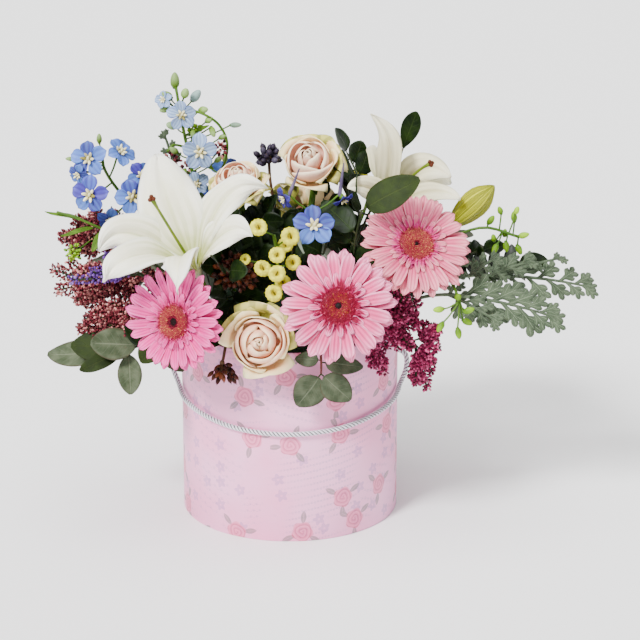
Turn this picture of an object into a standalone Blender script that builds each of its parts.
"""Flower hat box: a round pasteboard box with a rope handle, filled with a fresh flower arrangement.

Lengths are in metres. Places and sizes are written in millimetres through at() and MM.
The origin is the centre of the box's foot, +Z is up and -Y is the front.
"""
import math
import random

import bmesh
import bpy
from mathutils import Matrix, Vector

MM = 0.001

# Driving dimensions
BOX_RADIUS = 100 * MM
BOX_HEIGHT = 180 * MM
WALL = 2.5 * MM
BASE_THICKNESS = 3 * MM
GAP = 0.3 * MM
ROPE_RADIUS = 2.5 * MM
ROPE_HOLE_HEIGHT = 150 * MM
ROPE_SAG_HEIGHT = 105 * MM
LINER_HEIGHT = 150 * MM
LINER_WALL = 1.2 * MM
FOAM_RADIUS = 84 * MM
FOAM_TOP = 196 * MM
FOAM_CHAMFER = 14 * MM
GERBERA_RADIUS = 52 * MM
GERBERA_DISC_RADIUS = 17 * MM
FLORET_RADIUS = 18 * MM
BUTTON_RADIUS = 8 * MM
PETAL_THICKNESS = 1.3 * MM

# Values that follow from them
BORE = BOX_RADIUS - WALL
LINER_RADIUS = BORE - 11.5 * MM
LINER_FOOT = BASE_THICKNESS + GAP
FOAM_FOOT = LINER_FOOT + LINER_WALL + GAP
KNOT_RADIUS = 6.5 * MM
KNOT_HALF_WIDTH = 5 * MM
ROPE_ROUTE_RADIUS = BOX_RADIUS + ROPE_RADIUS + 1.2 * MM

# Colours and surface values: base colour, roughness, metallic
FINISHES = {
    "printed_paper": ((0.86, 0.66, 0.72), 0.5, 0.0),
    "board": ((0.80, 0.76, 0.70), 0.8, 0.0),
    "liner_plastic": ((0.10, 0.22, 0.12), 0.4, 0.0),
    "foam": ((0.05, 0.16, 0.07), 0.95, 0.0),
    "rope": ((0.72, 0.72, 0.78), 0.35, 0.2),
    "white_petal": ((0.90, 0.88, 0.80), 0.5, 0.0),
    "pistil": ((0.45, 0.52, 0.12), 0.5, 0.0),
    "lily_bud": ((0.62, 0.66, 0.18), 0.5, 0.0),
    "pink_petal": ((0.86, 0.33, 0.46), 0.5, 0.0),
    "gerbera_disc": ((0.55, 0.08, 0.12), 0.6, 0.0),
    "rose_petal": ((0.90, 0.66, 0.56), 0.5, 0.0),
    "blue_petal": ((0.16, 0.22, 0.62), 0.5, 0.0),
    "pale_petal": ((0.58, 0.68, 0.80), 0.5, 0.0),
    "stem": ((0.14, 0.28, 0.06), 0.6, 0.0),
    "bud_green": ((0.34, 0.50, 0.10), 0.5, 0.0),
    "button_yellow": ((0.85, 0.78, 0.25), 0.6, 0.0),
    "rice_maroon": ((0.24, 0.04, 0.07), 0.7, 0.0),
    "rice_magenta": ((0.45, 0.06, 0.16), 0.7, 0.0),
    "seed": ((0.09, 0.02, 0.02), 0.5, 0.0),
    "berry": ((0.12, 0.09, 0.16), 0.5, 0.0),
    "eucalyptus": ((0.20, 0.28, 0.20), 0.6, 0.0),
    "dark_leaf": ((0.04, 0.12, 0.03), 0.45, 0.0),
    "dusty_leaf": ((0.42, 0.52, 0.46), 0.8, 0.0),
    "statice": ((0.22, 0.10, 0.36), 0.7, 0.0),
}

UP = Vector((0, 0, 1))
hole_cutters = []


def at(x, y, z):
    """A place given in millimetres."""
    return Vector((x, y, z)) * MM


def finish(name):
    """The material of one finish, made once."""
    material = bpy.data.materials.get(name)
    if material is None:
        colour, roughness, metallic = FINISHES[name]
        material = bpy.data.materials.new(name)
        material.use_nodes = True
        shader = material.node_tree.nodes["Principled BSDF"]
        shader.inputs["Base Color"].default_value = (*colour, 1.0)
        shader.inputs["Roughness"].default_value = roughness
        shader.inputs["Metallic"].default_value = metallic
    return material


def link_mesh(name, bm, finish_name=None, smooth=True):
    """Turn a bmesh into a named object of the scene."""
    bmesh.ops.recalc_face_normals(bm, faces=bm.faces)
    mesh = bpy.data.meshes.new(name)
    bm.to_mesh(mesh)
    bm.free()
    item = bpy.data.objects.new(name, mesh)
    bpy.context.scene.collection.objects.link(item)
    if finish_name:
        mesh.materials.append(finish(finish_name))
    if smooth:
        mesh.shade_smooth()
        mesh.set_sharp_from_angle(angle=math.radians(40))
    return item


def bridge(bm, low, high):
    """Join two rings with triangles, split alike on the front and the back half."""
    count = len(low)
    for i in range(count):
        j = (i + 1) % count
        corners = (low[i], low[j], high[j], high[i])
        if i < count // 2:
            halves = ((0, 1, 2), (0, 2, 3))
        else:
            halves = ((0, 1, 3), (1, 2, 3))
        for half in halves:
            bm.faces.new([corners[k] for k in half])


def cap(bm, ring):
    """Close a ring with a strip of triangles from side to side."""
    first = 0
    last = len(ring) - 1
    while last - first > 1:
        bm.faces.new((ring[first], ring[first + 1], ring[last]))
        if last - first > 2:
            bm.faces.new((ring[first + 1], ring[last - 1], ring[last]))
        first += 1
        last -= 1


def loft(name, rings, finish_name=None):
    """One closed solid through rings of points. A last ring of one point makes a tip."""
    bm = bmesh.new()
    loops = [[bm.verts.new(point) for point in ring] for ring in rings]
    for low, high in zip(loops, loops[1:]):
        if len(high) == 1:
            for i, corner in enumerate(low):
                bm.faces.new((corner, low[(i + 1) % len(low)], high[0]))
        elif len(low) == 1:
            for i, corner in enumerate(high):
                bm.faces.new((corner, high[(i + 1) % len(high)], low[0]))
        else:
            bridge(bm, low, high)
    for loop in (loops[0], loops[-1]):
        if len(loop) > 2:
            cap(bm, loop)
    return link_mesh(name, bm, finish_name)


def keep_one_body(mesh):
    """Drop loose scraps and fill sealed hollows: only the largest closed shell stays."""
    bm = bmesh.new()
    bm.from_mesh(mesh)
    bmesh.ops.triangulate(bm, faces=bm.faces)
    unseen = set(bm.verts)
    shells = []
    while unseen:
        start = unseen.pop()
        shell = {start}
        edge_of_search = [start]
        while edge_of_search:
            vertex = edge_of_search.pop()
            for edge in vertex.link_edges:
                other = edge.other_vert(vertex)
                if other not in shell:
                    shell.add(other)
                    unseen.discard(other)
                    edge_of_search.append(other)
        shells.append(shell)
    shells.sort(key=len, reverse=True)
    for shell in shells[1:]:
        bmesh.ops.delete(bm, geom=list(shell), context="VERTS")
    bm.to_mesh(mesh)
    bm.free()


def combine(name, pieces, finish_name, operation="UNION", solver="MANIFOLD"):
    """Apply one Boolean of the first piece with all the others, and remove those."""
    base = pieces[0]
    group = bpy.data.collections.new(name + "_pieces")
    for piece in pieces[1:]:
        group.objects.link(piece)
    boolean = base.modifiers.new(operation.lower(), "BOOLEAN")
    boolean.operation = operation
    boolean.operand_type = "COLLECTION"
    boolean.collection = group
    boolean.solver = solver
    bpy.context.view_layer.update()
    depsgraph = bpy.context.evaluated_depsgraph_get()
    mesh = bpy.data.meshes.new_from_object(base.evaluated_get(depsgraph))
    for piece in pieces:
        bpy.data.objects.remove(piece)
    bpy.data.collections.remove(group)
    keep_one_body(mesh)
    mesh.materials.clear()
    mesh.materials.append(finish(finish_name))
    mesh.shade_smooth()
    mesh.set_sharp_from_angle(angle=math.radians(40))
    item = bpy.data.objects.new(name, mesh)
    bpy.context.scene.collection.objects.link(item)
    return item


def circle(radius, height, sides, turn=0.0):
    """A level ring of points round the Z axis."""
    step = math.tau / sides
    return [
        Vector((radius * math.cos(turn + step * i), radius * math.sin(turn + step * i), height))
        for i in range(sides)
    ]


def turned(name, profile, sides):
    """A ring-shaped solid: a closed profile of (radius, height) turned round the Z axis."""
    bm = bmesh.new()
    loops = [[bm.verts.new(point) for point in circle(radius, height, sides)] for radius, height in profile]
    for low, high in zip(loops, loops[1:] + loops[:1]):
        bridge(bm, low, high)
    return link_mesh(name, bm)


def facing_matrix(place, facing, spin=0.0):
    """Moves a shape modelled round +Z so that its +Z points along facing."""
    turn = Vector(facing).to_track_quat("Z", "Y").to_matrix().to_4x4()
    return Matrix.Translation(place) @ turn @ Matrix.Rotation(math.radians(spin), 4, "Z")


def moved(matrix, rings):
    """The rings as the matrix places them."""
    return [[matrix @ point for point in ring] for ring in rings]


def smooth_route(points, steps):
    """Points along a smooth curve through all the given points."""
    ends = [points[0] * 2 - points[1]] + list(points) + [points[-1] * 2 - points[-2]]
    route = []
    for before, start, end, after in zip(ends, ends[1:], ends[2:], ends[3:]):
        for i in range(steps):
            t = i / steps
            route.append(0.5 * (
                2 * start
                + (end - before) * t
                + (2 * before - 5 * start + 4 * end - after) * t ** 2
                + (3 * start - before - 3 * end + after) * t ** 3
            ))
    return route + [points[-1]]


def bezier(start, first, second, end, t):
    """A point of a cubic curve."""
    s = 1 - t
    return start * s ** 3 + first * (3 * s * s * t) + second * (3 * s * t * t) + end * t ** 3


def directions(route):
    """The direction of travel at each point of a route."""
    last = len(route) - 1
    return [(route[min(i + 1, last)] - route[max(i - 1, 0)]).normalized() for i in range(last + 1)]


def tube(name, route, radii, sides=5, bumps=0.0, tip=False):
    """A round solid along a route. Bumps raise every other point of its rings."""
    if not hasattr(radii, "__len__"):
        radii = [radii] * len(route)
    across = directions(route)[0].orthogonal().normalized()
    rings = []
    for k, (point, heading, radius) in enumerate(zip(route, directions(route), radii)):
        across = (across - heading * across.dot(heading)).normalized()
        side = heading.cross(across)
        ring = []
        for i in range(sides):
            angle = math.tau * (i + 0.5 * (k % 2 if bumps else 0)) / sides
            reach = radius * (1 + bumps * (1 if (i + k) % 2 else -1))
            ring.append(point + (across * math.cos(angle) + side * math.sin(angle)) * reach)
        rings.append(ring)
    if tip:
        rings[-1] = [route[-1]]
    return loft(name, rings)


def blade(root, tip, half_width, inner, bend=0.0, widths=(0.35, 1.0, 0.85), fold=0.15,
          thickness=PETAL_THICKNESS):
    """A pointed petal or leaf with a lens-shaped section.

    inner is the way its upper face looks, bend lifts its middle that way, and fold lifts its edges.
    """
    reach = tip - root
    inner = (inner - reach * inner.dot(reach) / reach.length_squared).normalized()
    count = len(widths)
    stations = [i / count for i in range(count)]
    route = [root + reach * t + inner * (4 * bend * t * (1 - t)) for t in stations] + [tip]
    across = reach.cross(inner).normalized()
    rings = []
    for centre, width in zip(route, widths):
        half = half_width * width
        lift = inner * half * fold
        rings.append([
            centre - across * half + lift,
            centre + inner * thickness / 2,
            centre + across * half + lift,
            centre - inner * thickness / 2,
        ])
    rings.append([tip])
    return loft("blade", rings)


def corolla(count, profile, apexes, turn=0.0, swirl=0.0, thickness=PETAL_THICKNESS, tail=None):
    """One layer of petals as a closed solid round the Z axis.

    profile runs from the middle outwards: (reach, height, half width) of each row, in metres. Its first
    row is the ring where the petals meet. Each petal has a raised rib and sharp edges. apexes are the
    heights that close the ring at the back and at the front. A tail replaces the back one by a thin
    stalk to that place.
    """
    bm = bmesh.new()
    step = math.tau / count

    def spot(angle, reach, height):
        return Vector((reach * math.cos(angle), reach * math.sin(angle), height))

    reach, height, _ = profile[0]
    rings = []
    for offset, apex in zip((-thickness, thickness), apexes):
        ring = [bm.verts.new(spot(turn + step * i, reach, height + offset / 2)) for i in range(count)]
        rings.append(ring)
        if tail and offset < 0:
            matrix = facing_matrix(tail, -tail)
            end = [bm.verts.new(matrix @ point) for point in circle(1.0 * MM, 0, count, turn)]
            bridge(bm, ring, end)
            cap(bm, end)
            continue
        peak = bm.verts.new(Vector((0, 0, apex)))
        for i in range(count):
            bm.faces.new((ring[i], ring[(i + 1) % count], peak))
    for i in range(count):
        middle = turn + step * (i + 0.5)
        roots = [(ring[i], ring[(i + 1) % count]) for ring in rings]
        before = None
        for row in range(1, len(profile)):
            reach, height, half = profile[row]
            after = profile[min(row + 1, len(profile) - 1)]
            slope = Vector((after[0] - profile[row - 1][0], after[1] - profile[row - 1][1])).normalized()
            last = row == len(profile) - 1
            turn_out = half / reach
            low = bm.verts.new(spot(middle - turn_out, reach - swirl, height))
            high = bm.verts.new(spot(middle + turn_out, reach + swirl, height))
            if last:
                ridge = [bm.verts.new(spot(middle, reach * 1.04, height))] * 2
            else:
                ridge = [
                    bm.verts.new(spot(
                        middle, reach - slope.y * side * thickness / 2, height + slope.x * side * thickness / 2
                    ))
                    for side in (-1, 1)
                ]
            for side in (0, 1):
                rib = ridge[side]
                if before is None:
                    left, right = roots[side]
                    bm.faces.new((left, rib, low))
                    bm.faces.new((left, right, rib))
                    bm.faces.new((right, high, rib))
                else:
                    left, ribs, right = before
                    bm.faces.new((left, ribs[side], low))
                    bm.faces.new((ribs[side], rib, low))
                    bm.faces.new((ribs[side], right, high))
                    bm.faces.new((ribs[side], high, rib))
            if before is None:
                bm.faces.new((roots[0][0], roots[1][0], low))
                bm.faces.new((roots[0][1], roots[1][1], high))
            before = (low, ridge, high)
    return link_mesh("corolla", bm)


def bud_on_stalk(root, place, along, length, width, stalk=0.9 * MM, sides=4):
    """A bud, berry or seed with its own thin stalk, as one solid."""
    along = along.normalized()
    neck = place - along * length / 2
    route = [root, neck, place - along * length * 0.08, place + along * length / 2]
    return tube("bud", route, [stalk, stalk, width / 2, 0], sides, 0, True)


def nearest_on(route, place):
    """The point of a route that lies nearest to a place."""
    best = None
    for start, end in zip(route, route[1:]):
        span = end - start
        share = min(1, max(0, (place - start).dot(span) / span.length_squared))
        candidate = start + span * share
        if best is None or (candidate - place).length < (best - place).length:
            best = candidate
    return best


def outside_foam(point, clearance):
    """Whether a point lies clear of the foam block."""
    level = math.hypot(point.x, point.y)
    over_side = level > FOAM_RADIUS + clearance
    over_top = point.z > FOAM_TOP + clearance
    over_chamfer = level + point.z > FOAM_RADIUS + FOAM_TOP - FOAM_CHAMFER + 1.5 * clearance
    return over_side or over_top or over_chamfer


def around(degrees, level, height):
    """A place round the Z axis, in millimetres. Degrees run from the front to the right."""
    angle = math.radians(degrees)
    return at(level * math.sin(angle), -level * math.cos(angle), height)


def foot_and_gate(degrees, foot_level=46, gate_level=77, gate_height=193):
    """Where a stem ends in the foam, and where it leaves the foam."""
    return around(degrees, foot_level, 148), around(degrees, gate_level, gate_height)


def rooted_route(foot, gate, through, radius, steps=1):
    """A stem's route: straight in the foam to its gate, then smoothly on through the given places.

    The plain hole that it stands in is noted for the foam.
    """
    rise = (gate - foot).normalized()
    leave = foot.copy()
    while not outside_foam(leave, 2 * MM):
        leave += rise * MM
    hole_cutters.append((foot - rise * GAP, leave + rise * 3 * MM, (radius + 0.4 * MM) / math.cos(math.pi / 4)))
    return [foot] + smooth_route([leave] + list(through), steps)


def stem(name, foot, gate, head, facing, radius, cup, handle=20 * MM):
    """A bloom's stem. cup gives (depth behind the bloom, radius) of its green cup, deepest first.

    handle is the length over which the stem turns into line with the bloom.
    """
    facing = Vector(facing).normalized()
    neck = head - facing * cup[0][0]
    pull = neck - facing * handle
    route = rooted_route(foot, gate, [pull, neck], radius)
    radii = [radius] * len(route)
    for step, girth in cup[1:]:
        route.append(head - facing * step)
        radii.append(girth)
    item = tube(name, route, radii, 5)
    item.data.materials.append(finish("stem"))


def make_box():
    """The wall with its rope holes, the base and the liner."""
    sides = 32
    wall = turned("wall_blank", ((BOX_RADIUS, 0), (BOX_RADIUS, BOX_HEIGHT), (BORE, BOX_HEIGHT), (BORE, 0)), sides)
    reach = BOX_RADIUS + 10 * MM
    across = tube("rope_bore", [
        Vector((-reach, 0, ROPE_HOLE_HEIGHT)),
        Vector((reach, 0, ROPE_HOLE_HEIGHT)),
    ], ROPE_RADIUS + 0.8 * MM, 8)
    combine("box_wall", [wall, across], "printed_paper", "DIFFERENCE")
    loft("box_base", [
        circle(BORE - GAP, 0, sides),
        circle(BORE - GAP, BASE_THICKNESS, sides),
    ], "board")
    inner = LINER_RADIUS - LINER_WALL
    loft("liner_tray", [
        circle(inner, LINER_FOOT + LINER_WALL, 20),
        circle(inner, LINER_HEIGHT, 20),
        circle(LINER_RADIUS, LINER_HEIGHT, 20),
        circle(LINER_RADIUS, LINER_FOOT, 20),
    ], "liner_plastic")


def make_rope():
    """The rope handle from hole to hole round the front, and its knots inside the wall."""
    front = ROPE_SAG_HEIGHT
    half = []
    for degrees, height in ((82, 18), (66, 11), (46, 6), (24, 1.6)):
        angle = math.radians(degrees)
        half.append(Vector((
            ROPE_ROUTE_RADIUS * math.sin(angle),
            -ROPE_ROUTE_RADIUS * math.cos(angle),
            front + height * MM,
        )))
    side = [
        Vector((BORE, 0, ROPE_HOLE_HEIGHT)),
        Vector((BOX_RADIUS + 2.5 * MM, 0, ROPE_HOLE_HEIGHT - 0.6 * MM)),
        Vector((ROPE_ROUTE_RADIUS + 4.1 * MM, -1 * MM, ROPE_HOLE_HEIGHT - 5.4 * MM)),
        Vector((ROPE_ROUTE_RADIUS + 4.3 * MM, -5 * MM, ROPE_HOLE_HEIGHT - 16 * MM)),
    ]
    right = side + half
    mirror = [Vector((-point.x, point.y, point.z)) for point in right]
    route = smooth_route(right + [Vector((0, -ROPE_ROUTE_RADIUS, front))] + mirror[::-1], 2)
    curve = bpy.data.curves.new("rope_handle", "CURVE")
    curve.dimensions = "3D"
    curve.bevel_depth = ROPE_RADIUS
    curve.bevel_resolution = 2
    curve.use_fill_caps = True
    spline = curve.splines.new("POLY")
    spline.points.add(len(route) - 1)
    for point, place in zip(spline.points, route):
        point.co = (*place, 1)
    curve.materials.append(finish("rope"))
    rope = bpy.data.objects.new("rope_handle", curve)
    bpy.context.scene.collection.objects.link(rope)
    for name, sign in (("rope_knot_right", 1), ("rope_knot_left", -1)):
        centre = Vector((sign * (BORE - GAP - KNOT_HALF_WIDTH), 0, ROPE_HOLE_HEIGHT))
        profile = ((-1, 0.45), (-0.4, 1), (0.4, 1), (1, 0.45))
        route = [centre + Vector((sign * share * KNOT_HALF_WIDTH, 0, 0)) for share, _ in profile]
        knot = tube(name, route, [KNOT_RADIUS * share for _, share in profile], 8)
        knot.data.materials.append(finish("rope"))


def make_foam():
    """The foam block, with a plain hole for every stem that was placed."""
    sides = 20
    block = loft("foam_blank", [
        circle(FOAM_RADIUS, FOAM_FOOT, sides),
        circle(FOAM_RADIUS, FOAM_TOP - FOAM_CHAMFER, sides),
        circle(FOAM_RADIUS - FOAM_CHAMFER, FOAM_TOP, sides),
    ])
    cutters = [tube("hole", [start, end], radius, 4) for start, end, radius in hole_cutters]
    combine("floral_foam", [block, *cutters], "foam", "DIFFERENCE", "MANIFOLD")


def gerbera(name, head, facing, foot, gate, spin=0.0, cup=0.0):
    """A gerbera: two layers of strap petals, a raised disc and a stem with a green cup."""
    place = facing_matrix(head, facing, spin)
    slope = math.tan(math.radians(cup))
    count = 13
    pieces = []
    for share, low, lift, turn in ((1.0, -1.8, -0.4, 0.0), (0.86, 0.2, 3.6, math.pi / count)):
        reach = GERBERA_RADIUS * share
        rows = [(12 * MM, low * MM, 0)]
        for part_way, half in ((0.44, 4.2), (0.8, 7.4), (0.96, 3.6)):
            distance = reach * part_way
            height = (low + lift * part_way) * MM + max(0, distance - GERBERA_DISC_RADIUS) * slope
            rows.append((distance, height, half * MM * share))
        if turn:
            del rows[1]
        layer = corolla(count, rows, ((low - 2.2) * MM, (low + 1.4) * MM), turn)
        layer.data.transform(place)
        pieces.append(layer)
    combine(name + "_petals", pieces, "pink_petal")
    radius = GERBERA_DISC_RADIUS
    base = 1.6 * MM + GAP
    sides = 10
    rings = [circle(0.72 * radius, base, sides)]
    for k, (share, height) in enumerate(((1.0, 2.2), (0.74, 3.6), (0.45, 4.2), (0.26, 3.2))):
        ring = circle(radius * share, base + height * MM, sides, math.pi / sides * (k % 2))
        rings.append([point + UP * (0.8 * MM if i % 2 else -0.6 * MM) for i, point in enumerate(ring)])
    rings.append([UP * (base + 2.4 * MM)])
    loft(name + "_disc", moved(place, rings), "gerbera_disc")
    cup_shape = ((17 * MM, 0), (11 * MM, 8 * MM), (4.5 * MM, 10 * MM))
    stem(name + "_stem", foot, gate, head, facing, 3 * MM, cup_shape)


def rose(name, head, facing, foot, gate, size=1.0, spin=0.0, handle=20 * MM):
    """A rose: three layers of cupped petals round a bud, and its stem."""
    place = facing_matrix(head, facing, spin)
    unit = size * MM
    bud = [circle(r * unit, z * unit, 5, 0.4 * k) for k, (r, z) in enumerate((
        (5, -27), (7.5, -18), (8, -3), (11, 8), (5, 15),
    ))]
    bud.append([Vector((0, 0, 12 * unit))])
    pieces = [loft("bud", moved(place, bud))]
    layers = (
        (5, 0.0, ((10, -23, 0), (29, -12, 17), (38, 2, 23), (42, 5, 9))),
        (4, 0.6, ((10, -15, 0), (22, -5, 16), (27, 7, 21), (31, 12, 9))),
        (3, 0.2, ((10, -7, 0), (17, 7, 16), (19, 17, 9))),
    )
    for count, turn, profile in layers:
        rows = [(reach * unit, height * unit, half * unit) for reach, height, half in profile]
        back = rows[0][1] - 3 * unit
        layer = corolla(count, rows, (back, back + 6 * unit), turn, 1.2 * unit, 1.6 * MM)
        layer.data.transform(place)
        pieces.append(layer)
    combine(name + "_petals", pieces, "rose_petal")
    cup_shape = ((36 * unit, 0), (32 * unit, 6 * MM), (27 * unit + GAP, 5.5 * unit))
    stem(name + "_stem", foot, gate, head, facing, 3 * MM, cup_shape, handle)


def tepal(start, first, second, tip, half, focus, cup=0.3, rows=4):
    """One lily tepal along a curve, its hollow side turned to the focus."""
    widths = (2.6 * MM / half, 0.74, 1.0, 0.76) if rows == 4 else (2.6 * MM / half, 0.9, 0.85)
    route = [bezier(start, first, second, tip, j / rows) for j in range(rows + 1)]
    rings = []
    for point, heading, share in zip(route, directions(route), widths):
        look = focus - point
        look = (look - heading * look.dot(heading)).normalized()
        across = heading.cross(look) * half * share
        rings.append([
            point - across + look * cup * half * share,
            point + look * 0.8 * MM,
            point + across + look * cup * half * share,
            point - look * 0.8 * MM,
        ])
    rings.append([tip])
    return loft("tepal", rings)


def lily(name, base, throat, tepals, stigma, pistil_bend, foot, gate):
    """An open lily: tepals joined at their roots, a pistil and a stem."""
    facing = (throat - base).normalized()
    cone = [
        circle(3.2 * MM, 0, 6),
        circle(6.5 * MM, 7 * MM, 6),
        circle(6.5 * MM, 14 * MM, 6),
    ]
    pieces = [loft("tube", moved(facing_matrix(base, facing), cone))]
    focus = throat + facing * 70 * MM
    for first, second, tip, half, rows in tepals:
        root = base + facing * 5 * MM + (first - base).normalized() * 1.5 * MM
        pieces.append(tepal(root, first, second, tip, half * MM, focus, rows=rows))
    combine(name + "_petals", pieces, "white_petal")
    start = base + facing * (14.3 * MM + GAP)
    route = [bezier(start, throat, pistil_bend, stigma, t) for t in (0, 0.35, 0.7)]
    route += [stigma, stigma + (stigma - route[-1]).normalized() * 3 * MM]
    pistil = tube(name + "_pistil", route, [1.3 * MM, 1.3 * MM, 1.3 * MM, 3 * MM, 2.2 * MM], 5)
    pistil.data.materials.append(finish("pistil"))
    stem(name + "_stem", foot, gate, base, facing, 3.4 * MM, ((7 * MM, 0), (GAP, 3 * MM)))


def make_lilies():
    """The open front lily, the back lily turned away, and the bud beside it."""
    lily("lily_front", at(-79, -80, 247), at(-88, -98, 269), (
        (at(-92, -92, 285), at(-112, -72, 320), at(-115, -60, 352), 27, 4),
        (at(-118, -92, 285), at(-148, -92, 305), at(-164, -112, 278), 17, 4),
        (at(-112, -122, 284), at(-140, -146, 294), at(-157, -152, 262), 17, 4),
        (at(-88, -128, 288), at(-97, -152, 288), at(-93, -158, 253), 14, 3),
        (at(-74, -98, 290), at(-58, -92, 345), at(-17, -86, 328), 15, 4),
        (at(-70, -108, 282), at(-50, -112, 312), at(-30, -121, 294), 15, 3),
    ), at(-114, -150, 335), at(-104, -128, 308), *foot_and_gate(-42, 30, 58, 200))
    lily("lily_back", at(90, 24, 272), at(99, 18, 295), (
        (at(84, 12, 306), at(72, 2, 335), at(77, 8, 372), 18, 4),
        (at(110, 22, 316), at(125, 20, 336), at(147, 12, 311), 15, 4),
        (at(108, 2, 296), at(134, -8, 306), at(153, -15, 298), 11, 3),
        (at(88, 42, 308), at(84, 60, 328), at(80, 78, 322), 15, 4),
        (at(116, 34, 304), at(136, 50, 312), at(150, 62, 292), 15, 3),
        (at(88, 4, 300), at(70, -8, 312), at(60, -14, 308), 11, 3),
    ), at(127, -14, 331), at(112, -4, 322), *foot_and_gate(105, 40, 54, 200))
    base = at(149, 10, 268)
    tip = at(184, -4, 306)
    along = (tip - base).normalized()
    rings = []
    for distance, radius in ((0, 4.5), (9, 9.5), (22, 12.5), (38, 11), (48, 5.5)):
        ring = circle(radius * MM, distance * MM, 12)
        shares = (1, 0.86) * 6
        rings.append([Vector((p.x * share, p.y * share, p.z)) for p, share in zip(ring, shares)])
    rings.append([Vector((0, 0, (tip - base).length))])
    loft("lily_bud", moved(facing_matrix(base, along), rings), "lily_bud")
    stem("lily_bud_stem", *foot_and_gate(86, 30, 62, 199), base, along, 2.6 * MM,
         ((5 * MM, 0), (GAP, 3.6 * MM)))


def make_gerberas():
    """Three pink gerberas: left, centre and right."""
    gerbera("gerbera_left", at(-97, -135, 221), (-0.5, -0.82, 0.22), *foot_and_gate(-37), 4, 10)
    gerbera("gerbera_centre", at(44, -143, 238), (0.0, -0.93, 0.37), *foot_and_gate(15))
    gerbera("gerbera_right", at(112, -90, 277), (0.22, -0.75, 0.62), *foot_and_gate(49), 8, 4)


def make_roses():
    """Three blush roses of the front and one at the back."""
    rose("rose_front", at(-25, -128, 200), (0.0, -0.95, 0.31), *foot_and_gate(-11), 0.9, 20, 5 * MM)
    rose("rose_top", at(18, 2, 330), (-0.08, -0.7, 0.7), at(6, 0, 148), at(8, 3, 199), 0.84, 50)
    rose("rose_left", at(-46, -26, 320), (-0.1, -0.5, 0.86), at(-14, -8, 148), at(-20, -10, 199), 0.72)
    rose("rose_back", at(14, 78, 278), (0.1, 0.72, 0.68), *foot_and_gate(168, 34, 44, 199), 0.86)


def floret(root, place, facing, radius):
    """A delphinium floret: five broad petals with a bee in the middle, on a thin stalk from its root."""
    rows = (
        (0.14 * radius, 0, 0),
        (0.66 * radius, 0.6 * MM, 0.38 * radius),
        (0.98 * radius, 1.6 * MM, 0.22 * radius),
    )
    matrix = facing_matrix(place, facing, 20)
    layer = corolla(5, rows, (0, 3.2 * MM), 0, 0, 1.6 * MM, matrix.inverted() @ root)
    layer.data.transform(matrix)
    return layer


def flower_spray(name, finish_name, main, florets, buds, stalk_radius=1.6 * MM, sides=5):
    """A stalk with florets and buds on side stalks, fused in one body."""
    pieces = [tube("stalk", main, stalk_radius, sides)]
    for place, facing, radius in florets:
        facing = Vector(facing).normalized()
        root = nearest_on(main, place - facing * 14 * MM - UP * 8 * MM)
        pieces.append(floret(root, place, facing, radius))
    for place, along, length, width in buds:
        along = Vector(along).normalized()
        root = nearest_on(main, place - along * 6 * MM - UP * 8 * MM)
        pieces.append(bud_on_stalk(root, place, along, length * MM, width * MM))
    return combine(name, pieces, finish_name)


def make_delphiniums():
    """The blue spray, the pale spire, the small spray in the centre and one at the back."""
    big = FLORET_RADIUS
    thick = 1.8 * MM
    main = rooted_route(*foot_and_gate(-101), [
        at(-112, 2, 262), at(-146, 0, 292), at(-166, -4, 322), at(-168, -2, 342),
    ], thick)
    flower_spray("delphinium_blue", "blue_petal", main, (
        (at(-179, -20, 337), (-0.25, -0.92, 0.3), big),
        (at(-177, -40, 309), (-0.2, -0.9, 0.2), big),
        (at(-140, -32, 305), (0.1, -0.95, 0.25), big),
        (at(-153, 8, 336), (0.5, -0.5, 0.6), 0.85 * big),
        (at(-134, 0, 316), (0.3, -0.8, 0.5), 0.8 * big),
        (at(-161, -20, 281), (0.0, -0.9, -0.3), 0.7 * big),
    ), ((at(-171, 0, 351), (0, 0, 1), 9, 6),), thick)
    main = rooted_route(*foot_and_gate(-112, 30, 55, 199), [
        at(-80, 8, 285), at(-90, 6, 330), at(-98, 12, 370), at(-102, 18, 394),
    ], thick)
    flower_spray("delphinium_pale", "pale_petal", main, (
        (at(-96, -2, 373), (0.0, -0.95, 0.2), 0.8 * big),
        (at(-80, -10, 341), (0.1, -0.97, 0.15), 0.85 * big),
    ), (
        (at(-103, 20, 400), (0, 0, 1), 15, 10),
        (at(-110, 10, 388), (-0.6, -0.5, 0.6), 12, 10),
        (at(-112, 8, 376), (-0.8, -0.4, -0.2), 10, 8),
        (at(-84, 15, 387), (0.5, -0.3, 0.7), 14, 10),
        (at(-77, 10, 375), (0.8, -0.3, 0.2), 9, 8),
        (at(-69, 8, 355), (0.3, -0.3, -0.8), 10, 7),
        (at(-48, 10, 361), (0.9, -0.3, 0.1), 11, 6),
        (at(-86, -4, 356), (0.2, -0.3, -0.9), 8, 6),
        (at(-96, -4, 318), (-0.4, -0.3, -0.8), 11, 7),
    ), thick)
    main = rooted_route(*foot_and_gate(14, 16, 28, 199), [at(22, -50, 250), at(22, -66, 300)], 1.6 * MM)
    flower_spray("delphinium_centre", "blue_petal", main, (
        (at(23, -88, 294), (0.0, -0.88, 0.45), 1.08 * big),
        (at(-3, -72, 315), (-0.75, -0.5, -0.35), 0.6 * big),
        (at(48, -58, 310), (0.5, -0.45, -0.7), 0.55 * big),
    ), (), 1.6 * MM)
    main = rooted_route(*foot_and_gate(-155), [at(-50, 88, 248), at(-58, 98, 272), at(-62, 104, 296)], thick)
    flower_spray("delphinium_back", "blue_petal", main, (
        (at(-60, 120, 288), (-0.1, 0.92, 0.3), big),
        (at(-78, 114, 260), (-0.4, 0.85, 0.2), big),
    ), ((at(-62, 106, 307), (0, 0, 1), 11, 7), (at(-78, 106, 300), (-0.5, 0.2, 0.8), 10, 7)), thick)


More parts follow.
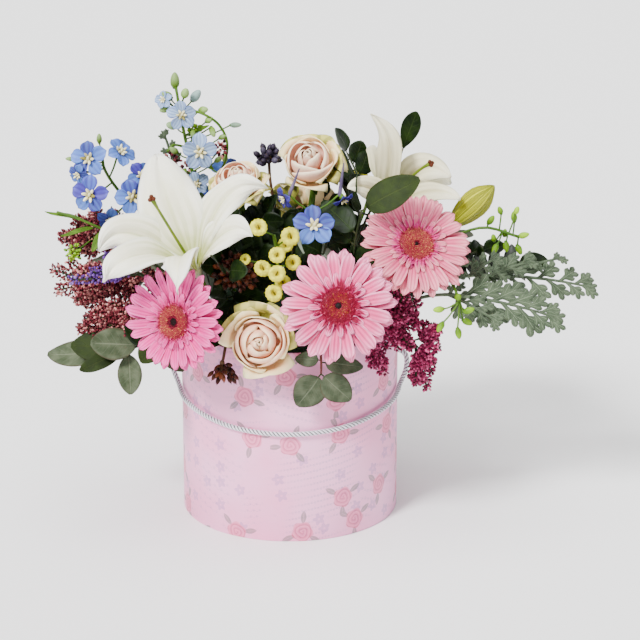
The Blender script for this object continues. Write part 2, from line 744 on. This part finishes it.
def bud_spray(name, main, buds):
    """A green stalk with oval buds on thin side stalks."""
    pieces = [tube("stalk", main, 1.3 * MM, 4)]
    for place, along in buds:
        along = Vector(along).normalized()
        root = nearest_on(main, place - along * 8 * MM - UP * 3 * MM)
        pieces.append(bud_on_stalk(root, place, along, 10 * MM, 7 * MM))
    combine(name, pieces, "bud_green")


def make_bud_sprays():
    """Green bud sprays at the right, one high and one low."""
    main = rooted_route(*foot_and_gate(92), [at(130, -14, 250), at(172, -24, 274), at(208, -26, 266)], 1.3 * MM)
    bud_spray("bud_spray_upper", main, (
        (at(182, -26, 282), (0.5, -0.2, 0.8)),
        (at(203, -22, 284), (-0.1, 0, 1)),
        (at(196, -30, 258), (0.1, -0.2, -1)),
        (at(208, -26, 254), (0.4, 0, -0.9)),
        (at(186, -30, 256), (-0.4, -0.2, -0.9)),
        (at(212, -27, 268), (0.8, 0, 0.2)),
    ))
    main = rooted_route(*foot_and_gate(59), [at(112, -56, 228), at(140, -84, 244), at(150, -116, 234)], 1.3 * MM)
    bud_spray("bud_spray_lower", main, (
        (at(148, -124, 240), (0.2, -0.9, 0.6)),
        (at(158, -118, 226), (0.9, 0, 0.3)),
        (at(157, -114, 214), (0.8, 0, -0.4)),
        (at(133, -122, 212), (-0.5, -0.2, -0.8)),
        (at(149, -122, 206), (0.2, -0.2, -1)),
        (at(131, -122, 228), (-0.8, -0.3, 0)),
    ))


def button(root, place, facing, radius):
    """A button flower: a dome with a dimple, with its own thin stalk, as one solid."""
    facing = facing.normalized()
    matrix = facing_matrix(place, facing)
    rings = [
        [root + (matrix.to_3x3() @ point) for point in circle(0.9 * MM, 0, 5)],
        [matrix @ point for point in circle(1.2 * MM, -0.7 * radius, 5)],
        [matrix @ point for point in circle(radius, 0, 5)],
        [matrix @ point for point in circle(0.74 * radius, 0.5 * radius, 5, math.pi / 5)],
        [matrix @ Vector((0, 0, 0.15 * radius))],
    ]
    return loft("button", rings)


def make_buttons():
    """Yellow button flowers in the front centre, and a few at the back."""
    sprays = (
        ("button_spray_front", foot_and_gate(-3, 26, 50, 199), (0, -0.85, 0.5),
         [at(-8, -86, 246), at(-10, -98, 274), at(-12, -104, 290)], (
             (-25, -118, 301, 1.0), (2, -112, 291, 1.1), (-2, -96, 279, 0.9), (-9, -121, 277, 0.95),
             (5, -110, 267, 0.9), (-22, -112, 262, 1.0), (-9, -127, 262, 1.0), (-4, -114, 250, 0.9),
             (-12, -133, 246, 1.0), (-37, -104, 268, 0.65))),
        ("button_spray_back", foot_and_gate(150), (0.3, 0.8, 0.5),
         [at(62, 84, 240), at(72, 98, 262), at(76, 104, 280)], (
             (66, 112, 288, 1.0), (86, 112, 284, 1.0), (76, 120, 268, 1.0), (58, 114, 262, 1.0),
             (94, 108, 266, 1.0))),
    )
    for name, (foot, gate), facing, through, heads in sprays:
        main = rooted_route(foot, gate, through, 1.6 * MM)
        facing = Vector(facing).normalized()
        pieces = [tube("stalk", main, 1.6 * MM, 5)]
        for x, y, z, share in heads:
            place = at(x, y, z)
            root = nearest_on(main, place - facing * 8 * MM - UP * 10 * MM)
            pieces.append(button(root, place, facing, BUTTON_RADIUS * share))
        combine(name, pieces, "button_yellow")


def rice_flower(name, finish_name, main, tips, girth=5.6 * MM, sides=4):
    """A bushy head of tiny buds: bumpy fingers that fork from one stalk."""
    pieces = [tube("stalk", main, 1.7 * MM, 4)]
    for i, tip in enumerate(tips):
        root = nearest_on(main, tip - (tip - main[0]).normalized() * 30 * MM)
        reach = tip - root
        lift = UP * (2 * MM if i % 2 else -1 * MM)
        shares = (0, 0.46, 0.76, 1.0)
        girths = (1.3 * MM, girth, 1.05 * girth, 0.45 * girth)
        route = [root + reach * share + lift * math.sin(math.pi * share) for share in shares]
        pieces.append(tube("finger", route, girths, sides, 0.22))
    combine(name, pieces, finish_name)


def make_rice_flowers():
    """Maroon rice flower in three heads at the left, magenta at the right, one head at the back."""
    thick = 1.7 * MM
    main = rooted_route(*foot_and_gate(-90), [at(-124, -10, 236), at(-150, -14, 252), at(-172, -16, 262)], thick)
    rice_flower("rice_flower_upper", "rice_maroon", main, (
        at(-208, -14, 266), at(-194, -8, 282), at(-178, 4, 280), at(-196, -28, 256), at(-160, 8, 284),
    ))
    main = rooted_route(*foot_and_gate(-79), [at(-112, -40, 212), at(-140, -48, 222), at(-162, -50, 228)], thick)
    rice_flower("rice_flower_middle", "rice_maroon", main, (
        at(-213, -42, 240), at(-210, -46, 221), at(-190, -64, 216), at(-186, -60, 240),
        at(-162, -78, 228), at(-150, -66, 244),
    ), 6 * MM)
    main = rooted_route(*foot_and_gate(-61), [at(-106, -62, 198), at(-128, -68, 200), at(-146, -70, 200)], thick)
    rice_flower("rice_flower_lower", "rice_maroon", main, (
        at(-188, -70, 192), at(-180, -84, 206), at(-160, -92, 196), at(-142, -86, 212),
    ), 6 * MM)
    main = rooted_route(*foot_and_gate(37), [at(80, -78, 198), at(98, -82, 200), at(112, -82, 184)], thick)
    rice_flower("rice_flower_right", "rice_magenta", main, (
        at(116, -72, 220), at(102, -96, 214), at(134, -80, 196), at(108, -108, 190),
        at(128, -94, 170), at(124, -74, 140), at(84, -112, 168),
    ), 5.4 * MM)
    main = rooted_route(*foot_and_gate(-136), [at(-84, 84, 216), at(-104, 92, 226), at(-124, 96, 226)], thick)
    rice_flower("rice_flower_back", "rice_maroon", main, (
        at(-168, 92, 236), at(-150, 114, 220), at(-142, 106, 250),
    ), 6 * MM)


def seed_cluster(name, finish_name, main, centre, spread, count, seed, length=8.5, width=5.2):
    """Small oval seeds on short stalks round the end of a twig."""
    draw = random.Random(seed)
    hub = main[-1]
    pieces = [
        tube("stalk", main, 1.4 * MM, 4),
        tube("hub", [hub - UP * 3 * MM, hub, hub + UP * 3 * MM], [1.4 * MM, 3.4 * MM, 1.4 * MM], 4),
    ]
    golden = math.pi * (3 - math.sqrt(5))
    for i in range(count):
        level = 1 - 1.6 * (i + 0.5) / count
        flat = math.sqrt(1 - level * level)
        out = Vector((flat * math.cos(golden * i), flat * math.sin(golden * i), level))
        place = centre + Vector(out[k] * spread[k] for k in range(3)) * MM * draw.uniform(0.8, 1.0)
        root = hub + (place - hub).normalized() * 1.6 * MM
        pieces.append(bud_on_stalk(root, place, place - hub, length * MM, width * MM, 0.8 * MM, 3))
    combine(name, pieces, finish_name)


def make_seed_clusters():
    """Dark seed clusters at the centre and below the front rose, and berries between the upper roses."""
    thick = 1.4 * MM
    main = rooted_route(*foot_and_gate(-26, 22, 46, 199), [at(-40, -66, 230), at(-46, -82, 250)], thick)
    seed_cluster("seed_cluster_centre", "seed", main, at(-46, -84, 252), (20, 16, 19), 12, 1)
    main = rooted_route(*foot_and_gate(-24), [at(-52, -96, 192), at(-62, -116, 174)], thick)
    seed_cluster("seed_cluster_front", "seed", main, at(-62, -118, 168), (10, 7, 13), 7, 2)
    main = rooted_route(*foot_and_gate(176, 14, 24, 199), [at(-16, 36, 290), at(-19, 38, 320)], thick)
    seed_cluster("berry_cluster_back", "berry", main, at(-19, 38, 324), (12, 10, 12), 10, 3, 7.5, 6.5)


def leafy_twig(name, finish_name, main, leaves, forks=()):
    """A twig with oval leaves. Each leaf has a root, a tip, a half width and the way its face looks.

    Each fork has the points of its own twig, the number of its leaves and their length. They stand
    in turn to its left and its right, and one ends it.
    """
    widths = (0.16, 1.0, 0.86)
    pieces = [tube("stalk", main, 1.5 * MM, 4)]
    for root, tip, half, inner in leaves:
        seat = nearest_on(main, root)
        pieces.append(blade(seat, tip, half * MM, Vector(inner), 2 * MM, widths, 0.12))
    for points, count, length in forks:
        route = [nearest_on(main, points[0]), *points[1:]]
        pieces.append(tube("twig", route, 1.2 * MM, 3))
        for i in range(count):
            ahead = (route[-1] - route[-2]).normalized()
            outward = Vector((route[-1].x, route[-1].y, 0)).normalized()
            face = (outward + UP * 0.3).normalized()
            aside = ahead.cross(face).normalized() * (1 if i % 2 else -1)
            seat = route[-1] - ahead * length * MM * 0.42 * i
            heading = ahead if i == 0 else (ahead * 0.5 + aside).normalized()
            seat = nearest_on(route, seat)
            tip = seat + heading * length * MM
            pieces.append(blade(seat, tip, 0.38 * length * MM, face, 2 * MM, widths, 0.12))
    combine(name, pieces, finish_name)


def make_foliage():
    """Eucalyptus sprays, the dark leaf at the top right, and three sprays at the back."""
    twigs = (
        ("eucalyptus_left", "eucalyptus", foot_and_gate(-52),
         [at(-98, -86, 190), at(-126, -90, 186), at(-150, -88, 176)], (
             (at(-150, -88, 176), at(-218, -50, 164), 11, (0, -0.6, 0.8)),
             (at(-138, -90, 180), at(-194, -96, 182), 11, (0.1, -0.9, 0.45)),
             (at(-150, -88, 176), at(-180, -108, 158), 10, (0, -0.9, 0.5)),
             (at(-140, -90, 180), at(-146, -102, 142), 9, (0.3, -0.95, 0.1)),
             (at(-112, -90, 188), at(-92, -112, 168), 11, (0, -0.9, 0.3))), ()),
        ("eucalyptus_front", "eucalyptus", foot_and_gate(4),
         [at(26, -102, 190), at(29, -112, 178), at(29, -114, 166)], (
             (at(29, -114, 166), at(8, -120, 138), 15, (0.2, -0.97, 0.1)),
             (at(29, -114, 166), at(55, -119, 143), 13, (-0.1, -0.97, 0.2)),
             (at(29, -112, 176), at(66, -113, 172), 9, (0, -0.9, 0.4)),
             (at(29, -112, 178), at(6, -108, 178), 7, (0, -0.9, 0.4))), ()),
        ("eucalyptus_centre", "dark_leaf", foot_and_gate(-56, 20, 46, 199),
         [at(-52, -56, 226), at(-55, -64, 246), at(-58, -72, 260)], (
             (at(-58, -72, 260), at(-72, -84, 284), 9, (0.4, -0.85, 0.2)),),
         (((at(-54, -60, 236), at(-36, -34, 262), at(-22, -28, 286)), 4, 26),
          ((at(-52, -56, 226), at(-66, -36, 250), at(-74, -28, 284)), 3, 28))),
        ("eucalyptus_right", "eucalyptus", foot_and_gate(30, 28, 50, 199),
         [at(52, -64, 240), at(60, -80, 284), at(64, -96, 310)], (
             (at(64, -96, 310), at(114, -104, 341), 15, (-0.35, -0.8, 0.45)),
             (at(58, -76, 272), at(24, -48, 300), 10, (-0.2, -0.9, 0.2)),
             (at(56, -72, 260), at(86, -50, 250), 9, (0.2, -0.6, 0.7))), ()),
        ("dark_leaf_right", "dark_leaf", foot_and_gate(124, 30, 55, 199),
         [at(72, 54, 262), at(97, 62, 306), at(104, 58, 324)], (
             (at(104, 58, 324), at(117, 50, 364), 9, (-0.2, -0.95, 0.2)),
             (at(82, 52, 282), at(56, 66, 300), 9, (-0.3, -0.5, 0.8))),
         (((at(78, 56, 270), at(66, 84, 290), at(54, 98, 312)), 3, 28),)),
        ("eucalyptus_back_left", "eucalyptus", foot_and_gate(-118),
         [at(-106, 60, 216), at(-138, 66, 226), at(-168, 62, 220)], (
             (at(-168, 62, 220), at(-212, 46, 206), 11, (0, 0.5, 0.8)),
             (at(-150, 66, 224), at(-194, 78, 204), 10, (0, 0.7, 0.7)),
             (at(-146, 66, 225), at(-176, 44, 248), 10, (0, 0.3, 0.9)),
             (at(-120, 64, 220), at(-142, 84, 200), 10, (0, 0.9, 0.3))),
         (((at(-100, 58, 214), at(-108, 74, 246), at(-116, 84, 274)), 3, 30),)),
        ("eucalyptus_back_right", "eucalyptus", foot_and_gate(133),
         [at(100, 92, 218), at(130, 104, 230), at(158, 104, 224)], (
             (at(158, 104, 224), at(200, 92, 212), 11, (0, 0.5, 0.8)),
             (at(144, 106, 228), at(176, 130, 222), 11, (0, 0.7, 0.7)),
             (at(136, 106, 230), at(166, 84, 248), 10, (0, 0.3, 0.9)),
             (at(114, 98, 226), at(128, 128, 206), 11, (0, 0.9, 0.3))),
         (((at(98, 90, 216), at(112, 94, 246), at(118, 92, 278)), 3, 30),)),
        ("eucalyptus_back_low", "eucalyptus", foot_and_gate(181),
         [at(-4, 106, 196), at(-8, 122, 188), at(-10, 130, 172)], (
             (at(-10, 130, 172), at(-14, 132, 134), 12, (0, 1, 0.1)),
             (at(-9, 126, 182), at(-46, 124, 160), 12, (0, 0.95, 0.3)),
             (at(-8, 124, 186), at(34, 122, 166), 12, (0, 0.95, 0.3)),
             (at(-6, 110, 195), at(36, 110, 200), 11, (0, 0.7, 0.7)),
             (at(-6, 108, 196), at(-48, 108, 202), 11, (0, 0.7, 0.7))),
         (((at(-4, 100, 197), at(-22, 112, 222), at(-28, 120, 246)), 3, 26),
          ((at(-4, 100, 197), at(26, 112, 222), at(36, 122, 244)), 3, 26))),
    )
    for name, finish_name, (foot, gate), through, leaves, forks in twigs:
        main = rooted_route(foot, gate, through, 1.5 * MM)
        leafy_twig(name, finish_name, main, leaves, forks)


def frond(root, tip, face, reach, pairs, bend):
    """A dusty miller leaf: an arched rib with blunt lobes cut down to it on both sides."""
    along = tip - root
    face = (face - along * face.dot(along) / along.length_squared).normalized()
    across = along.cross(face).normalized()
    thick = face * 0.5 * MM
    steps = 2 * pairs
    rows = []
    for i in range(steps + 1):
        t = i / steps
        middle = root + along * t + face * (4 * bend * t * (1 - t))
        out = reach * math.sin(math.pi * (0.18 + 0.74 * t)) if i % 2 else 1.8 * MM
        forward = along * (0.6 / steps) if i % 2 else Vector((0, 0, 0))
        drop = face * -0.18 * out
        rows.append([
            middle - across * out + forward + drop,
            middle,
            middle + across * out + forward + drop,
        ])
    bm = bmesh.new()
    front = [[bm.verts.new(point + thick) for point in row] for row in rows]
    back = [[bm.verts.new(point - thick) for point in row] for row in rows]
    for i in range(steps):
        for k in range(2):
            for grid in (front, back):
                corners = (grid[i][k], grid[i][k + 1], grid[i + 1][k + 1], grid[i + 1][k])
                flip = (k == 0) == (i % 2 == 0)
                halves = ((0, 1, 2), (0, 2, 3)) if flip else ((0, 1, 3), (1, 2, 3))
                for half in halves:
                    bm.faces.new([corners[c] for c in half])
        for k in (0, 2):
            bm.faces.new((front[i][k], front[i + 1][k], back[i + 1][k], back[i][k]))
    for i in (0, steps):
        for k in range(2):
            bm.faces.new((front[i][k], front[i][k + 1], back[i][k + 1], back[i][k]))
    return link_mesh("frond", bm)


def dusty_miller(name, main, fronds):
    """A dusty miller sprig: lobed leaves on a thick pale stalk."""
    pieces = [tube("stalk", main, 1.6 * MM, 5)]
    for root, tip, face, reach, pairs, bend in fronds:
        seat = nearest_on(main, root)
        pieces.append(frond(seat, tip, Vector(face), reach * MM, pairs, bend * MM))
    combine(name, pieces, "dusty_leaf")


def make_dusty_miller():
    """Silvery lobed leaves reaching out at the right, and one tip at the top left."""
    main = rooted_route(*foot_and_gate(71), [at(118, -50, 216), at(142, -72, 226), at(160, -86, 228)], 1.6 * MM)
    dusty_miller("dusty_miller_front", main, (
        (at(158, -84, 228), at(240, -86, 206), (0.1, -0.72, 0.68), 20, 5, 6),
        (at(142, -74, 226), at(184, -108, 212), (-0.1, -0.7, 0.7), 12, 4, 3),
    ))
    main = rooted_route(*foot_and_gate(82), [at(130, -30, 222), at(160, -42, 234), at(184, -46, 236)], 1.6 * MM)
    dusty_miller("dusty_miller_middle", main, (
        (at(182, -46, 236), at(279, -34, 220), (0.1, -0.72, 0.68), 17, 5, 6),
        (at(164, -42, 235), at(222, -26, 244), (0, -0.6, 0.8), 11, 4, 3),
    ))
    main = rooted_route(*foot_and_gate(-130, 34, 58, 199), [at(-96, 26, 282), at(-104, 24, 316)], 1.5 * MM)
    dusty_miller("dusty_miller_top", main, (
        (at(-104, 24, 316), at(-114, 18, 352), (0.3, -0.9, 0.1), 8, 3, 2),
    ))


def make_statice():
    """A small purple statice spray at the left."""
    main = rooted_route(*foot_and_gate(-70), [at(-104, -58, 222), at(-134, -92, 254), at(-142, -104, 264)], 1.4 * MM)
    rice_flower("statice_left", "statice", main, (
        at(-149, -128, 268), at(-149, -114, 278),
    ), 4.5 * MM)


def main():
    """Clear the scene and build every piece."""
    for item in list(bpy.data.objects):
        bpy.data.objects.remove(item)
    make_box()
    make_rope()
    make_lilies()
    make_gerberas()
    make_roses()
    make_delphiniums()
    make_bud_sprays()
    make_buttons()
    make_rice_flowers()
    make_seed_clusters()
    make_foliage()
    make_dusty_miller()
    make_statice()
    make_foam()


main()
